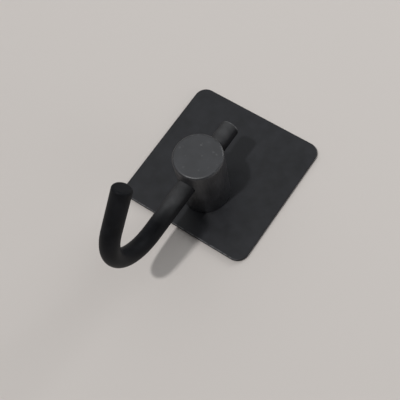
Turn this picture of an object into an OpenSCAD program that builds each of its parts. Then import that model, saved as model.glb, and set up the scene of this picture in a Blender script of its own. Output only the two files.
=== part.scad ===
// Adhesive wall hook.
// A bent round rod passes through a short post and is clamped there by a set screw.
// The post is screwed to a square back plate, and foam tape behind the plate sticks it to a wall.
// The hook lies on its back. The origin is the centre of the wall face, +Z runs out of the wall
// along the post, and +Y runs up the wall, from the bend to the rod's upper end.
// All sizes are in millimetres.

/* [Back plate] */
// Side length of the square plate
plate_size = 48; // [40:0.5:80]
// Thickness of the plate
plate_thick = 0.8; // [0.6:0.1:1.2]
// Radius of the plate's corners
plate_corner_r = 4; // [2:0.5:10]
// Rounding of the plate's front edge
plate_edge_r = 0.3; // [0.1:0.05:0.5]

/* [Post] */
// Diameter of the post
post_d = 16; // [12:0.5:24]
// Height of the post above the plate
post_height = 24; // [20:0.5:40]
// Distance of the post's axis below the plate's centre
post_drop = 8.5; // [0:0.5:12]
// Rounding of the rim at the post's outer end
post_rim_r = 0.8; // [0.2:0.1:2]
// Chamfer at the post's foot, where it stands on the plate
post_foot_chamfer = 0.3; // [0.1:0.1:0.5]

/* [Hook rod] */
// Diameter of the rod
rod_d = 6; // [4:0.5:8]
// Distance of the rod's axis below the post's outer end
rod_setback = 7.5; // [6:0.5:10]
// Length of the rod from the post's axis to its upper end
stub_length = 17; // [10:0.5:30]
// Length of the rod from the post's axis down to the bend
shank_length = 25.5; // [14:0.5:60]
// Radius of the bend, at the rod's axis
bend_radius = 15.5; // [10:0.5:30]
// Slope of the tip after the bend: its rise out of the wall
tip_rise = 4; // [1:0.5:8]
// Slope of the tip after the bend: its run back up the wall
tip_run = 3; // [0:0.5:6]
// Length of the straight tip after the bend
tip_length = 15; // [4:0.5:30]
// Rounding of the rod's two ends
rod_end_r = 0.8; // [0.2:0.1:1.5]
// Depth of the flat that the set screw bears on
flat_depth = 0.4; // [0.2:0.1:1]
// Length of that flat along the rod
flat_length = 6; // [5:0.5:10]

/* [Screws] */
// Thread diameter of both screws
screw_d = 4; // [3:0.5:5]
// How far the plate screw's countersunk head stands out over its thread
head_overhang = 1.75; // [1.6:0.05:2]
// Width of the cross recess in the head
recess_w = 0.8; // [0.5:0.1:1.2]
// Span of the cross recess
recess_span = 3; // [2:0.1:3.2]
// Depth of the cross recess
recess_depth = 1.4; // [0.8:0.1:1.5]
// Length of the set screw
set_screw_length = 5; // [4:0.5:6]
// Chamfer at the set screw's point
point_chamfer = 0.7; // [0.3:0.1:1]
// Width of the set screw's hexagon socket across its flats
socket_w = 2; // [1.5:0.1:2.5]
// Depth of that socket
socket_depth = 2; // [1:0.1:3]
// Free length of bore between the two screws
screw_gap = 1.7; // [1:0.1:4]

/* [Adhesive tape] */
// Setback of the tape from the plate's edge
tape_inset = 0.3; // [0.1:0.1:1.8]
// Thickness of the foam core
foam_thick = 0.4; // [0.3:0.1:2]
// Thickness of each adhesive film
film_thick = 0.05; // [0.05:0.05:0.2]
// Thickness of the release liner
liner_thick = 0.05; // [0.05:0.05:0.2]

/* [Fits] */
// Clearance of the rod in the post, on the diameter
rod_clearance = 0.1; // [0.05:0.05:0.3]
// Clearance of the screws in the tapped bore, on the diameter
thread_clearance = 0.1; // [0.05:0.05:0.2]
// Clearance of the plate screw in the plate, on the diameter
hole_clearance = 0.4; // [0.2:0.1:0.6]
// Clearance of the plate's dimple in the post's foot, on the diameter
dimple_clearance = 0.1; // [0.05:0.05:0.3]

/* [Hidden] */
$fn = 96;
// How far a cut runs past the face that it opens
cut = 1;

// Heights above the wall face, from the liner up
wall_film_z = liner_thick;
foam_z = wall_film_z + film_thick;
plate_film_z = foam_z + foam_thick;
plate_z = plate_film_z + film_thick;
post_z = plate_z + plate_thick;
rod_z = post_z + post_height - rod_setback;

// Angle that the bend turns through
bend_angle = 180 - atan2(tip_rise, tip_run);

// The set screw stands under the flat, and the plate screw takes the bore that is left below it
set_screw_z = rod_z - rod_d / 2 + flat_depth - set_screw_length;
plate_screw_length = set_screw_z - screw_gap - plate_z;
shank_d = screw_d - thread_clearance;

// The head's cone has a slope of 45 degrees and sits flush in a dimple of the plate
head_d = screw_d + 2 * head_overhang;
screw_hole_d = screw_d + hole_clearance;
seat_depth = (head_d - screw_hole_d) / 2;
dimple_h = seat_depth - plate_thick;
// The outside of the dimple lies one plate thickness away from the seat
dimple_d = head_d + 2 * plate_thick * (sqrt(2) - 1);
foot_recess_d = dimple_d + dimple_clearance;
foot_recess_h = dimple_h + dimple_clearance / 2;

tape_size = plate_size - 2 * tape_inset;
tape_corner_r = plate_corner_r - tape_inset;

coating = "#1c1d1f";
bare_steel = "#b4b6b8";
dark_steel = "#46484b";
foam_grey = "#37383a";
film_clear = "#c9c4b4";
liner_red = "#b3241f";

// Moves its children to the post's axis, at the given height above the wall face
module on_post_axis(height) {
    translate([0, -post_drop, height])
        children();
}

// Section from an axis out to a wall, with the upper outer corner rounded
module edge_section(width, height, edge_r) {
    square([width, height - edge_r]);
    square([width - edge_r, height]);
    translate([width - edge_r, height - edge_r])
        circle(edge_r);
}

// Upright round bar with a rounded upper rim
module round_bar(diameter, height, edge_r) {
    rotate_extrude()
        edge_section(diameter / 2, height, edge_r);
}

// Square outline with round corners
module round_square(size, corner_r) {
    reach = size - 2 * corner_r;
    square([size, reach], center = true);
    square([reach, size], center = true);
    for (x = [-1, 1], y = [-1, 1])
        translate([x, y] * reach / 2)
            circle(corner_r);
}

// Square slab with round corners, whose upper edge is rounded all the way round
module rounded_slab(size, corner_r, height, edge_r) {
    reach = size - 2 * corner_r;
    linear_extrude(height)
        square(reach, center = true);
    for (turn = [0 : 90 : 270])
        rotate(turn)
            translate([reach / 2, 0, 0]) {
                rotate([90, 0, 0])
                    linear_extrude(reach, center = true)
                        edge_section(corner_r, height, edge_r);
                translate([0, reach / 2, 0])
                    rotate_extrude(angle = 90)
                        edge_section(corner_r, height, edge_r);
            }
}

// One layer of the tape
module tape_layer(bottom, height) {
    translate([0, 0, bottom])
        linear_extrude(height)
            round_square(tape_size, tape_corner_r);
}

module back_plate() {
    color(coating)
        difference() {
            union() {
                translate([0, 0, plate_z])
                    rounded_slab(plate_size, plate_corner_r, plate_thick, plate_edge_r);
                // Dimple for the screw's head, pressed out towards the post
                on_post_axis(post_z)
                    cylinder(d1 = dimple_d, d2 = dimple_d - 2 * dimple_h, h = dimple_h);
            }
            // Seat of the head's cone, open at both ends
            on_post_axis(plate_z - cut)
                cylinder(d1 = head_d + 2 * cut, d2 = screw_hole_d - 2 * cut, h = seat_depth + 2 * cut);
        }
}

module post() {
    color(coating)
        difference() {
            on_post_axis(post_z) {
                cylinder(d1 = post_d - 2 * post_foot_chamfer, d2 = post_d, h = post_foot_chamfer);
                translate([0, 0, post_foot_chamfer])
                    round_bar(post_d, post_height - post_foot_chamfer, post_rim_r);
            }
            // Cross bore for the rod
            on_post_axis(rod_z)
                rotate([90, 0, 0])
                    cylinder(d = rod_d + rod_clearance, h = post_d + 2 * cut, center = true);
            // Tapped bore for the two screws, from the plate up into the cross bore
            on_post_axis(post_z - cut)
                cylinder(d = screw_d, h = rod_z - post_z + cut);
            // Recess in the foot, over the plate's dimple
            on_post_axis(post_z - cut)
                cylinder(
                    d1 = foot_recess_d + 2 * cut,
                    d2 = foot_recess_d - 2 * foot_recess_h,
                    h = foot_recess_h + cut
                );
            // Countersunk mouth of the tapped bore, over the end of the screw's cone
            on_post_axis(post_z + foot_recess_h - cut)
                cylinder(d1 = screw_hole_d + 2 * cut, d2 = screw_d, h = hole_clearance / 2 + cut);
        }
}

// Moves its children to the bend: its axis is Z, and the bend starts on X and turns towards Y
module at_bend() {
    translate([0, -shank_length, bend_radius])
        rotate([180, 90, 0])
            children();
}

module hook_rod() {
    color(coating)
        on_post_axis(rod_z)
            difference() {
                union() {
                    rotate([-90, 0, 0])
                        round_bar(rod_d, stub_length, rod_end_r);
                    rotate([90, 0, 0])
                        cylinder(d = rod_d, h = shank_length);
                    at_bend() {
                        rotate_extrude(angle = bend_angle)
                            translate([bend_radius, 0])
                                circle(d = rod_d);
                        rotate(bend_angle)
                            translate([bend_radius, 0, 0])
                                rotate([-90, 0, 0])
                                    round_bar(rod_d, tip_length, rod_end_r);
                    }
                }
                // Flat on the underside, over the tapped bore
                translate([-rod_d / 2, -flat_length / 2, -rod_d / 2 - cut])
                    cube([rod_d, flat_length, flat_depth + cut]);
            }
}

module plate_screw() {
    color(bare_steel)
        on_post_axis(plate_z)
            difference() {
                union() {
                    cylinder(d1 = head_d, d2 = shank_d, h = (head_d - shank_d) / 2);
                    cylinder(d = shank_d, h = plate_screw_length);
                }
                // Cross recess, cut from the head's outer face
                for (turn = [0, 90])
                    rotate(turn)
                        translate([-recess_span / 2, -recess_w / 2, -cut])
                            cube([recess_span, recess_w, recess_depth + cut]);
            }
}

module rod_set_screw() {
    body_length = set_screw_length - point_chamfer;
    color(dark_steel)
        on_post_axis(set_screw_z)
            difference() {
                union() {
                    cylinder(d = shank_d, h = body_length);
                    translate([0, 0, body_length])
                        cylinder(d1 = shank_d, d2 = shank_d - 2 * point_chamfer, h = point_chamfer);
                }
                // Hexagon socket, reached through the tapped bore
                translate([0, 0, -cut])
                    cylinder(d = socket_w / cos(30), h = socket_depth + cut, $fn = 6);
            }
}

module plate_side_adhesive() {
    color(film_clear)
        tape_layer(plate_film_z, film_thick);
}

module foam_core() {
    color(foam_grey)
        tape_layer(foam_z, foam_thick);
}

module wall_side_adhesive() {
    color(film_clear)
        tape_layer(wall_film_z, film_thick);
}

module release_liner() {
    color(liner_red)
        tape_layer(0, liner_thick);
}

back_plate();
post();
hook_rod();
plate_screw();
rod_set_screw();
plate_side_adhesive();
foam_core();
wall_side_adhesive();
release_liner();
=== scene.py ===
import math

import bmesh
import bpy
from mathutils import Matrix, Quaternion, Vector, noise


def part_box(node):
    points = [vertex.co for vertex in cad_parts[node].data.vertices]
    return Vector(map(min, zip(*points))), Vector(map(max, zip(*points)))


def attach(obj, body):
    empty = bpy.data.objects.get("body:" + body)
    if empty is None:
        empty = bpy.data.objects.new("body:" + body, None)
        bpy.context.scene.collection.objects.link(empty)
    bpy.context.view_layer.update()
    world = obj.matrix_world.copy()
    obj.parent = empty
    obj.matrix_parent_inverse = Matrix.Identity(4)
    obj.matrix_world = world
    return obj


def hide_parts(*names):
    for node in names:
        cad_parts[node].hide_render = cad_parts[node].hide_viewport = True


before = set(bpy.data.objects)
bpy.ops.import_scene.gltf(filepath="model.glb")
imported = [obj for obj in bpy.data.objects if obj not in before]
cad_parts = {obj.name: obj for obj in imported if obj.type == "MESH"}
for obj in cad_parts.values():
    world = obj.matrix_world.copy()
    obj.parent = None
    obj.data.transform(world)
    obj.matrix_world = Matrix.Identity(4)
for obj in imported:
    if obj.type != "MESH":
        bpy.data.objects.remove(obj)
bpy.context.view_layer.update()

MM = 0.001

# Camera: where it looks and from where, angles in degrees, lens and sensor in millimetres, and near limit
CAMERA_TARGET = Vector((0.26, -12.44, 1.35)) * MM
CAMERA_DISTANCE = 286.0 * MM
CAMERA_AZIMUTH = 48.37
CAMERA_ELEVATION = 64.19
CAMERA_ROLL = -15.06
CAMERA_LENS = 79.13
CAMERA_SENSOR = 36.0
CAMERA_NEAR = 10.0 * MM

# Light: a far key lamp with its width in degrees, three near lamps at their distances, and an even fill
KEY_DIRECTION = Vector((-0.10, -0.36, 1.0))
KEY_ANGLE = 2.9
KEY_POWER = 1.38
LAMPS = {
    "softbox": {"direction": Vector((-0.42, 0.26, 0.87)), "distance": 1.0, "size": 1.6, "power": 4.6},
    "back_light": {"direction": Vector((0.3, 0.85, 0.45)), "distance": 1.2, "size": 0.5, "power": 4.0},
    "side_light": {"direction": Vector((1.0, 0.2, 0.3)), "distance": 1.2, "size": 0.6, "power": 1.8},
}
LAMP_COLOUR = (0.95, 0.98, 1.0)
FILL_COLOUR = (1.0, 1.0, 1.0, 1.0)
FILL_LEVEL = 0.14

# Floor: a plain sheet just under the release liner
FLOOR_SIZE = 12.0
FLOOR_DROP = 0.05 * MM
FLOOR_COLOUR = (0.62, 0.578, 0.547, 1.0)
FLOOR_ROUGHNESS = 0.8
FLOOR_GLOSS = 0.1

# Colours of the coats, of dust and painted sheen, of painted rim highlights, and of the screws and the
# tape
PLATE_BLACK = (0.0083, 0.0085, 0.0108)
POST_BLACK = (0.0138, 0.0142, 0.0172)
ROD_BLACK = (0.0092, 0.0095, 0.011)
# Pale colour of the dust specks and of the painted sheen on level faces
DUST_AND_SHEEN = (0.09, 0.09, 0.092)
# Pale colour of the painted highlights on the plate's lower rim and the rod's upper rim
RIM_GLINT = (0.12, 0.12, 0.124)
ZINC = (0.56, 0.57, 0.58)
BLACKENED = (0.09, 0.09, 0.095)
FOAM_GREY = (0.035, 0.035, 0.037)
ADHESIVE_GREY = (0.30, 0.29, 0.26)
LINER_RED = (0.55, 0.035, 0.03)

# Finish of each coat: its roughness and gloss, its share of painted sheen on level faces and, on the
# post, of cells with a dust speck
PLATE_FINISH = {"roughness": 0.42, "gloss": 0.36, "painted_sheen": 0.03}
POST_FINISH = {"roughness": 0.45, "gloss": 0.7, "painted_sheen": 0.06, "specks": 0.55}
ROD_FINISH = {"roughness": 0.5, "gloss": 0.07, "painted_sheen": 0.6}

# Powder coat: the pebbles of its skin, the patches in its colour and roughness, and how far these vary
COAT_GRAIN = 0.3 * MM
COAT_RELIEF = 0.004 * MM
COAT_PATCH = 4.0 * MM
COAT_CLOUD = 0.35
COAT_UNEVEN = 0.06

# Painted sheen: its patches, how level a face it lies on (the dust specks use this too), and how soon it
# fades below the plate's lower edge
SHEEN_PATCH = 5.0 * MM
SHEEN_UNEVEN = (0.6, 1.4)
SHEEN_AND_DUST_LEVEL = (0.5, 1.0)
SHEEN_FADE = 8.0 * MM

# Specks: their grid and largest radius on the post, and the size, outline, core and strength of any speck
SPECK_SPACING = 2.2 * MM
SPECK_RADIUS = 0.55 * MM
SPECK_SMALLEST = 0.4
SPECK_RAGGED = (0.6, 1.4)
SPECK_CORE = 0.2
SPECK_STRENGTH = (0.1, 0.6)

# Painted rim highlights: their patches, the plate's lower rim and how level it is there, and the rim of
# the rod's upper end
GLINT_PATCH = 1.5 * MM
GLINT_SPREAD = (0.35, 0.6)
PLATE_RIM = (0.25 * MM, 0.45 * MM)
PLATE_RIM_FACING = (0.5, 0.9)
ROD_RIM = 1.5 * MM
ROD_RIM_LEAN = 0.55
ROD_RIM_SPREAD = (0.15, 0.35)

# Steel: the rings from turning, which are squeezed along the screw, its stain and its roughness
STEEL_RING = 0.5 * MM
STEEL_SQUEEZE = 12.0
STEEL_RELIEF = 0.002 * MM
STEEL_STAIN = 2.0 * MM
STEEL_STAINED = 0.85
STEEL_UNEVEN = (-0.06, 0.08)
ZINC_ROUGHNESS = 0.32
BLACKENED_ROUGHNESS = 0.42

# Screws: metric coarse thread, half its crest and its flank in pitches, cross recess and hexagon socket
ROUND_POINTS = 48
THREAD_PITCH = 0.7 * MM
THREAD_DEPTH = 0.38 * MM
THREAD_ROWS = 10
THREAD_CREST = 1 / 16
THREAD_FLANK = 5 / 16
RECESS_SPAN = 3.0 * MM
RECESS_WIDTH = 0.8 * MM
RECESS_DEPTH = 1.4 * MM
RECESS_TAPER = 0.55
SOCKET_WIDTH = 2.0 * MM
SOCKET_DEPTH = 2.0 * MM
POINT_CHAMFER = 0.7 * MM
END_CHAMFER = 0.4 * MM

# Foam: round corners of the tape, the ragged edge that the die leaves, and the look of the cells
TAPE_CORNER = 3.7 * MM
FOAM_STEP = 0.25 * MM
FOAM_ROWS = 6
FOAM_PINCH = 0.05 * MM
FOAM_CELL = 0.22 * MM
FOAM_RAGGED = 0.03 * MM
FOAM_SHADES = (0.7, 1.4)
FOAM_ROUGHNESS = (0.95, 0.8)
FOAM_RELIEF = 0.04 * MM

# Adhesive: its ripples and its bubbles
RIPPLE = 3.0 * MM
RIPPLE_RELIEF = 0.03 * MM
ADHESIVE_ROUGHNESS = (0.12, 0.25)
BUBBLE_SPACING = 1.2 * MM
BUBBLE_RADIUS = 0.25 * MM
BUBBLE_SHARE = 0.3
BUBBLE_SHADE = 1.5

# Release liner: its long creases, which run at an angle in degrees, and its haze
CREASE = 2.5 * MM
CREASE_STRETCH = 0.2
CREASE_TURN = 35.0
CREASE_RELIEF = 0.06 * MM
HAZE_PATCH = 6.0 * MM
HAZE_SHADE = 0.88
LINER_ROUGHNESS = (0.48, 0.6)

# Edges that turn by more than this angle, in degrees, stay sharp
SHARP_ANGLE = 35.0


class Surface:
    """A material that is put together from shader nodes."""

    def __init__(self, name):
        self.material = bpy.data.materials.new(name)
        self.material.use_nodes = True
        self.tree = self.material.node_tree
        self.shader = self.tree.nodes["Principled BSDF"]
        self.place = self.add("TexCoord").outputs["Object"]

    def feed(self, node, inputs):
        """Sets inputs of a node, or links them where the value is another node's output."""
        for key, value in inputs.items():
            if isinstance(value, bpy.types.NodeSocket):
                self.tree.links.new(value, node.inputs[key])
            else:
                node.inputs[key].default_value = value

    def add(self, kind, inputs=None, **settings):
        """Adds a shader node with its settings and inputs."""
        node = self.tree.nodes.new("ShaderNode" + kind)
        for key, value in settings.items():
            setattr(node, key, value)
        self.feed(node, inputs or {})
        return node

    def maths(self, operation, *values):
        """Result of one operation on numbers or on other nodes' outputs."""
        return self.add("Math", dict(enumerate(values)), operation=operation).outputs[0]

    def part(self, vector, axis):
        """One coordinate of a vector."""
        return self.add("SeparateXYZ", {"Vector": vector}).outputs[axis]

    def facing(self, axis):
        """How far the surface faces along an axis."""
        return self.part(self.add("NewGeometry").outputs["Normal"], axis)

    def noise(self, size, detail=2.0, place=None):
        """Cloudy noise whose patches are about as large as size."""
        inputs = {"Vector": place or self.place, "Scale": 1 / size, "Detail": detail}
        return self.add("TexNoise", inputs).outputs["Fac"]

    def spread(self, value, low, high, start=0.3, end=0.7):
        """Stretches a value from the range start to end onto the range low to high."""
        inputs = {"Value": value, "From Min": start, "From Max": end, "To Min": low, "To Max": high}
        return self.add("MapRange", inputs).outputs["Result"]

    def mix(self, share, first, second):
        """Colour between two others."""
        node = self.add("Mix", data_type="RGBA")
        self.feed(node, {"Factor": share})
        for key, colour in (("A_Color", first), ("B_Color", second)):
            socket = next(s for s in node.inputs if s.identifier == key)
            if isinstance(colour, bpy.types.NodeSocket):
                self.tree.links.new(colour, socket)
            else:
                socket.default_value = (*colour, 1)
        return next(s for s in node.outputs if s.identifier == "Result_Color")

    def specks(self, spacing, radius, share):
        """Mask of uneven specks on level faces, in a share of the cells of an irregular grid."""
        inputs = {"Vector": self.place, "Scale": 1 / spacing}
        cells = self.add("TexVoronoi", inputs, voronoi_dimensions="2D")
        random = self.add("SeparateColor", {"Color": cells.outputs["Color"]}).outputs
        chosen = self.maths("LESS_THAN", random["Red"], share)
        largest = radius / spacing
        size = self.spread(random["Green"], SPECK_SMALLEST * largest, largest, 0.0, 1.0)
        ragged = self.spread(self.noise(radius), *SPECK_RAGGED)
        reach = self.maths("MULTIPLY", self.maths("DIVIDE", cells.outputs["Distance"], size), ragged)
        strength = self.spread(random["Blue"], *SPECK_STRENGTH, 0.0, 1.0)
        spot = self.maths("MULTIPLY", self.spread(reach, 1.0, 0.0, SPECK_CORE, 1.0), strength)
        return self.maths("MULTIPLY", chosen, spot)

    def bump(self, height, depth):
        """Normal of a surface that rises and falls by depth."""
        inputs = {"Height": height, "Strength": 1.0, "Distance": depth}
        return self.add("Bump", inputs).outputs["Normal"]


def shade(colour, factor):
    """The same colour, paler or darker."""
    return tuple(part * factor for part in colour)


def sheen_and_dust_faces(coat):
    """Mask of level faces for the painted sheen and the dust specks, fading out on the rod below the
    plate's lower edge.
    """
    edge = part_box("back_plate")[0][1]
    level = coat.spread(coat.facing("Z"), 0.0, 1.0, *SHEEN_AND_DUST_LEVEL)
    sheen_kept = coat.spread(coat.part(coat.place, "Y"), 0.0, 1.0, edge - SHEEN_FADE, edge)
    return coat.maths("MULTIPLY", level, sheen_kept)


def plate_rim(coat):
    """Mask of the top of the plate's lower rim, where a highlight is painted."""
    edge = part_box("back_plate")[0][1]
    glint_full, glint_gone = PLATE_RIM
    low = coat.spread(coat.part(coat.place, "Y"), 1.0, 0.0, edge + glint_full, edge + glint_gone)
    return coat.maths("MULTIPLY", low, coat.spread(coat.facing("Z"), 0.0, 1.0, *PLATE_RIM_FACING))


def rod_rim(coat):
    """Mask of the rounded rim at the rod's upper end, which leans between its side and its end face,
    where a highlight is painted.
    """
    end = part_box("hook_rod")[1][1]
    gap = coat.maths("ABSOLUTE", coat.maths("SUBTRACT", coat.facing("Y"), ROD_RIM_LEAN))
    at_end = coat.maths("GREATER_THAN", coat.part(coat.place, "Y"), end - ROD_RIM)
    return coat.maths("MULTIPLY", coat.spread(gap, 1.0, 0.0, *ROD_RIM_SPREAD), at_end)


def powder_coat(name, colour, roughness, gloss, painted_sheen, specks=0.0, rim=None):
    """Black powder coat: a pebbled, cloudy skin with a painted sheen and dust specks on its level faces,
    and a painted highlight along a rim.
    """
    coat = Surface(name)
    pebbles = coat.noise(COAT_GRAIN, detail=3.0)
    patches = coat.noise(COAT_PATCH, detail=3.0)
    clouds = coat.spread(patches, 0.0, 1.0)
    look = coat.mix(clouds, shade(colour, 1 - COAT_CLOUD), shade(colour, 1 + COAT_CLOUD))
    # Painted highlight: upward faces are lightened as if lit from above; the same mask also carries the
    # dust specks
    sheen_and_dust_mask = sheen_and_dust_faces(coat)
    thin, thick = SHEEN_UNEVEN
    film = coat.spread(coat.noise(SHEEN_PATCH, detail=4.0), thin * painted_sheen, thick * painted_sheen)
    look = coat.mix(coat.maths("MULTIPLY", sheen_and_dust_mask, film), look, DUST_AND_SHEEN)
    if specks:
        spots = coat.specks(SPECK_SPACING, SPECK_RADIUS, specks)
        look = coat.mix(coat.maths("MULTIPLY", sheen_and_dust_mask, spots), look, DUST_AND_SHEEN)
    # Painted highlight: a broken pale line along a rim, where a lamp would glint
    if rim:
        glinting = coat.spread(coat.noise(GLINT_PATCH, detail=3.0), 0.0, 1.0, *GLINT_SPREAD)
        look = coat.mix(coat.maths("MULTIPLY", rim(coat), glinting), look, RIM_GLINT)
    coat.feed(coat.shader, {
        "Base Color": look,
        "Roughness": coat.spread(patches, roughness - COAT_UNEVEN, roughness + COAT_UNEVEN),
        "Specular IOR Level": gloss,
        "Normal": coat.bump(pebbles, COAT_RELIEF),
    })
    return coat.material


def turned_steel(name, colour, roughness):
    """Steel with fine rings from turning and a little stain."""
    steel = Surface(name)
    squeeze = {"Vector": steel.place, "Scale": (1.0, 1.0, STEEL_SQUEEZE)}
    along = steel.add("Mapping", squeeze).outputs["Vector"]
    rings = steel.noise(STEEL_RING, detail=3.0, place=along)
    stain = steel.spread(steel.noise(STEEL_STAIN), 0.0, 1.0)
    smoother, rougher = STEEL_UNEVEN
    steel.feed(steel.shader, {
        "Base Color": steel.mix(stain, shade(colour, STEEL_STAINED), colour),
        "Metallic": 1.0,
        "Roughness": steel.spread(rings, roughness + smoother, roughness + rougher),
        "Normal": steel.bump(rings, STEEL_RELIEF),
    })
    return steel.material


def cell_foam(name, colour):
    """Closed-cell foam: small round cells with paler walls."""
    foam = Surface(name)
    cells = foam.add("TexVoronoi", {"Vector": foam.place, "Scale": 1 / FOAM_CELL}).outputs["Distance"]
    dark, pale = FOAM_SHADES
    foam.feed(foam.shader, {
        "Base Color": foam.mix(foam.spread(cells, 0.0, 1.0), shade(colour, dark), shade(colour, pale)),
        "Roughness": foam.spread(cells, *FOAM_ROUGHNESS),
        "Normal": foam.bump(cells, FOAM_RELIEF),
    })
    return foam.material


def tacky_film(name, colour):
    """Clear adhesive: wet gloss with faint ripples and small bubbles."""
    film = Surface(name)
    ripples = film.noise(RIPPLE)
    bubbles = film.specks(BUBBLE_SPACING, BUBBLE_RADIUS, BUBBLE_SHARE)
    film.feed(film.shader, {
        "Base Color": film.mix(bubbles, colour, shade(colour, BUBBLE_SHADE)),
        "Roughness": film.spread(ripples, *ADHESIVE_ROUGHNESS),
        "Normal": film.bump(ripples, RIPPLE_RELIEF),
    })
    return film.material


def release_film(name, colour):
    """Thin coloured release film: waxy, with a little haze and long faint creases."""
    film = Surface(name)
    stretch = {
        "Vector": film.place,
        "Scale": (1.0, CREASE_STRETCH, 1.0),
        "Rotation": (0.0, 0.0, math.radians(CREASE_TURN)),
    }
    along = film.add("Mapping", stretch).outputs["Vector"]
    creases = film.noise(CREASE, place=along)
    haze = film.noise(HAZE_PATCH, detail=3.0)
    film.feed(film.shader, {
        "Base Color": film.mix(film.spread(haze, 0.0, 1.0), shade(colour, HAZE_SHADE), colour),
        "Roughness": film.spread(haze, *LINER_ROUGHNESS),
        "Normal": film.bump(creases, CREASE_RELIEF),
    })
    return film.material


def dress(material, *nodes):
    """Gives CAD nodes their material."""
    for node in nodes:
        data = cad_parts[node].data
        data.materials.clear()
        data.materials.append(material)


def circle(radius):
    """The same radius at every angle."""
    return lambda angle: radius


def cross(span, width):
    """Radius of a cross-shaped outline at an angle."""
    def radius(angle):
        turn = (angle + math.pi / 4) % (math.pi / 2) - math.pi / 4
        end = span / 2 / math.cos(turn)
        rise = abs(math.sin(turn))
        return width / 2 / rise if end * rise > width / 2 else end
    return radius


def hexagon(width):
    """Radius of a hexagon at an angle, from its width across the flats."""
    def radius(angle):
        turn = (angle + math.pi / 6) % (math.pi / 3) - math.pi / 6
        return width / 2 / math.cos(turn)
    return radius


def thread(crest, height):
    """Radius of a screw thread at an angle, at one height."""
    def radius(angle):
        phase = (height / THREAD_PITCH - angle / math.tau) % 1
        flank = (abs(phase - 0.5) - THREAD_CREST) / THREAD_FLANK
        return crest - THREAD_DEPTH * min(max(flank, 0), 1)
    return radius


def threaded(crest, bottom, top):
    """Rings of a thread from a low to a high point, without the end points themselves."""
    rows = round((top - bottom) / THREAD_PITCH * THREAD_ROWS)
    heights = [bottom + (top - bottom) * row / rows for row in range(1, rows)]
    return [(thread(crest, height), height) for height in heights]


def finish_piece(name, shape, material, node):
    """Makes an object from a bmesh and puts it in the place of a CAD node."""
    bmesh.ops.recalc_face_normals(shape, faces=shape.faces)
    mesh = bpy.data.meshes.new(name)
    shape.to_mesh(mesh)
    shape.free()
    mesh.shade_smooth()
    mesh.set_sharp_from_angle(angle=math.radians(SHARP_ANGLE))
    mesh.materials.append(material)
    piece = bpy.data.objects.new(name, mesh)
    bpy.context.scene.collection.objects.link(piece)
    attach(piece, "hook")
    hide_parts(node)


def skin(loops):
    """Closed bmesh over rows of points, with both ends capped."""
    shape = bmesh.new()
    rows = [[shape.verts.new(point) for point in loop] for loop in loops]
    for low, high in zip(rows, rows[1:]):
        for i in range(len(low)):
            shape.faces.new((low[i - 1], low[i], high[i], high[i - 1]))
    shape.faces.new(rows[0])
    shape.faces.new(rows[-1])
    return shape


def make_screw(node, rings, material):
    """Skins rings, each a radius function and a height, around the node's axis."""
    low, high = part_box(node)
    middle = (Vector(low) + Vector(high)) / 2
    angles = [math.tau * i / ROUND_POINTS for i in range(ROUND_POINTS)]
    loops = []
    for radius, height in rings:
        loop = []
        for angle in angles:
            across = radius(angle) * math.cos(angle)
            up = radius(angle) * math.sin(angle)
            loop.append((middle.x + across, middle.y + up, height))
        loops.append(loop)
    finish_piece(node + "_threaded", skin(loops), material, node)


def make_screws():
    """The two screws, with their threads and the recess or socket that turns them."""
    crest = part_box("rod_set_screw")[1][0]
    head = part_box("plate_screw")[1][0]

    # Countersunk screw, from the floor of its recess round the head's 45 degree cone to its end
    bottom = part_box("plate_screw")[0][2]
    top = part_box("plate_screw")[1][2]
    neck = bottom + head - crest
    rings = [
        (cross(RECESS_SPAN * RECESS_TAPER, RECESS_WIDTH * RECESS_TAPER), bottom + RECESS_DEPTH),
        (cross(RECESS_SPAN, RECESS_WIDTH), bottom),
        (circle(head), bottom),
        (circle(crest), neck),
        *threaded(crest, neck, top - END_CHAMFER),
        (circle(crest - THREAD_DEPTH), top - END_CHAMFER),
        (circle(crest - THREAD_DEPTH - END_CHAMFER), top),
    ]
    make_screw("plate_screw", rings, turned_steel("zinc_steel", ZINC, ZINC_ROUGHNESS))

    # Set screw, from the floor of its socket round its lower end to its point
    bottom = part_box("rod_set_screw")[0][2]
    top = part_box("rod_set_screw")[1][2]
    rings = [
        (hexagon(SOCKET_WIDTH), bottom + SOCKET_DEPTH),
        (hexagon(SOCKET_WIDTH), bottom),
        (circle(crest - THREAD_DEPTH), bottom),
        *threaded(crest, bottom, top - POINT_CHAMFER),
        (circle(crest - THREAD_DEPTH), top - POINT_CHAMFER),
        (circle(crest - POINT_CHAMFER), top),
    ]
    steel = turned_steel("black_steel", BLACKENED, BLACKENED_ROUGHNESS)
    make_screw("rod_set_screw", rings, steel)


def tape_outline():
    """Points and outward directions along the tape's rounded square edge."""
    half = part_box("foam_core")[1][0]
    reach = half - TAPE_CORNER
    points = []
    for quarter in range(4):
        turn = math.pi / 2 * quarter
        out = Vector((math.cos(turn), math.sin(turn), 0))
        along = Vector((-out.y, out.x, 0))
        count = round(2 * reach / FOAM_STEP)
        for i in range(count):
            points.append((out * half + along * (2 * reach * i / count - reach), out))
        count = round(TAPE_CORNER * math.pi / 2 / FOAM_STEP)
        for i in range(count):
            bend = math.pi / 2 * i / count
            lean = out * math.cos(bend) + along * math.sin(bend)
            points.append(((out + along) * reach + lean * TAPE_CORNER, lean))
    return points


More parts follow.
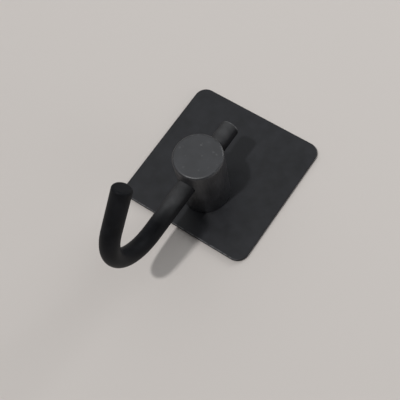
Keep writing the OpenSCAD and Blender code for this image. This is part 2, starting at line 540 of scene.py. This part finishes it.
def make_foam():
    """Foam layer whose cut edge is drawn in between the two films and ragged with open cells."""
    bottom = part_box("foam_core")[0][2]
    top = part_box("foam_core")[1][2]
    outline = tape_outline()
    loops = []
    for row in range(FOAM_ROWS + 1):
        share = row / FOAM_ROWS
        height = bottom + (top - bottom) * share
        belly = 4 * share * (1 - share)
        loop = []
        for point, out in outline:
            place = point + Vector((0, 0, height))
            ragged = (1 + noise.noise(place / FOAM_CELL)) / 2
            loop.append(place - out * belly * (FOAM_PINCH + FOAM_RAGGED * ragged))
        loops.append(loop)
    foam = cell_foam("closed_cell_foam", FOAM_GREY)
    finish_piece("foam_core_cut", skin(loops), foam, "foam_core")


def make_floor():
    """Plain pale floor, which isn't part of the object."""
    bpy.ops.mesh.primitive_plane_add(size=FLOOR_SIZE, location=(0, 0, -FLOOR_DROP))
    floor = bpy.context.object
    floor.name = "floor"
    paint = Surface("floor_paint")
    paint.feed(paint.shader, {
        "Base Color": FLOOR_COLOUR,
        "Roughness": FLOOR_ROUGHNESS,
        "Specular IOR Level": FLOOR_GLOSS,
    })
    floor.data.materials.append(paint.material)


def aim(thing, place, target, roll=0.0):
    """Puts a camera or lamp at a place and turns it to the target."""
    thing.location = place
    thing.rotation_mode = "QUATERNION"
    turn = (target - place).to_track_quat("-Z", "Y")
    thing.rotation_quaternion = turn @ Quaternion((0, 0, 1), math.radians(roll))


def add_lamp(name, kind, place, **settings):
    """Adds a lamp that shines from a place towards the origin."""
    lamp = bpy.data.lights.new(name, kind)
    for key, value in settings.items():
        setattr(lamp, key, value)
    holder = bpy.data.objects.new(name, lamp)
    bpy.context.scene.collection.objects.link(holder)
    aim(holder, place, Vector((0, 0, 0)))


def make_lights():
    """Studio lamps and the even fill."""
    add_lamp("key", "SUN", KEY_DIRECTION, angle=math.radians(KEY_ANGLE), energy=KEY_POWER)
    for name, lamp in LAMPS.items():
        place = lamp["direction"].normalized() * lamp["distance"]
        add_lamp(name, "AREA", place, size=lamp["size"], energy=lamp["power"], color=LAMP_COLOUR)
    world = bpy.data.worlds.new("studio")
    world.use_nodes = True
    background = world.node_tree.nodes["Background"]
    background.inputs["Color"].default_value = FILL_COLOUR
    background.inputs["Strength"].default_value = FILL_LEVEL
    bpy.context.scene.world = world


def make_camera():
    """Camera at the photograph's viewing angle."""
    camera = bpy.data.objects.new("camera", bpy.data.cameras.new("camera"))
    bpy.context.scene.collection.objects.link(camera)
    camera.data.lens = CAMERA_LENS
    camera.data.sensor_width = CAMERA_SENSOR
    camera.data.clip_start = CAMERA_NEAR
    azimuth = math.radians(CAMERA_AZIMUTH)
    elevation = math.radians(CAMERA_ELEVATION)
    back = Vector((
        math.sin(azimuth) * math.cos(elevation),
        -math.cos(azimuth) * math.cos(elevation),
        math.sin(elevation),
    ))
    aim(camera, CAMERA_TARGET + back * CAMERA_DISTANCE, CAMERA_TARGET, CAMERA_ROLL)
    bpy.context.scene.camera = camera


dress(powder_coat("plate_coat", PLATE_BLACK, rim=plate_rim, **PLATE_FINISH), "back_plate")
dress(powder_coat("post_coat", POST_BLACK, **POST_FINISH), "post")
dress(powder_coat("rod_coat", ROD_BLACK, rim=rod_rim, **ROD_FINISH), "hook_rod")
dress(tacky_film("acrylic_film", ADHESIVE_GREY), "plate_side_adhesive", "wall_side_adhesive")
dress(release_film("red_film", LINER_RED), "release_liner")
make_screws()
make_foam()
make_floor()
make_lights()
make_camera()
bpy.context.scene.view_settings.view_transform = "Standard"
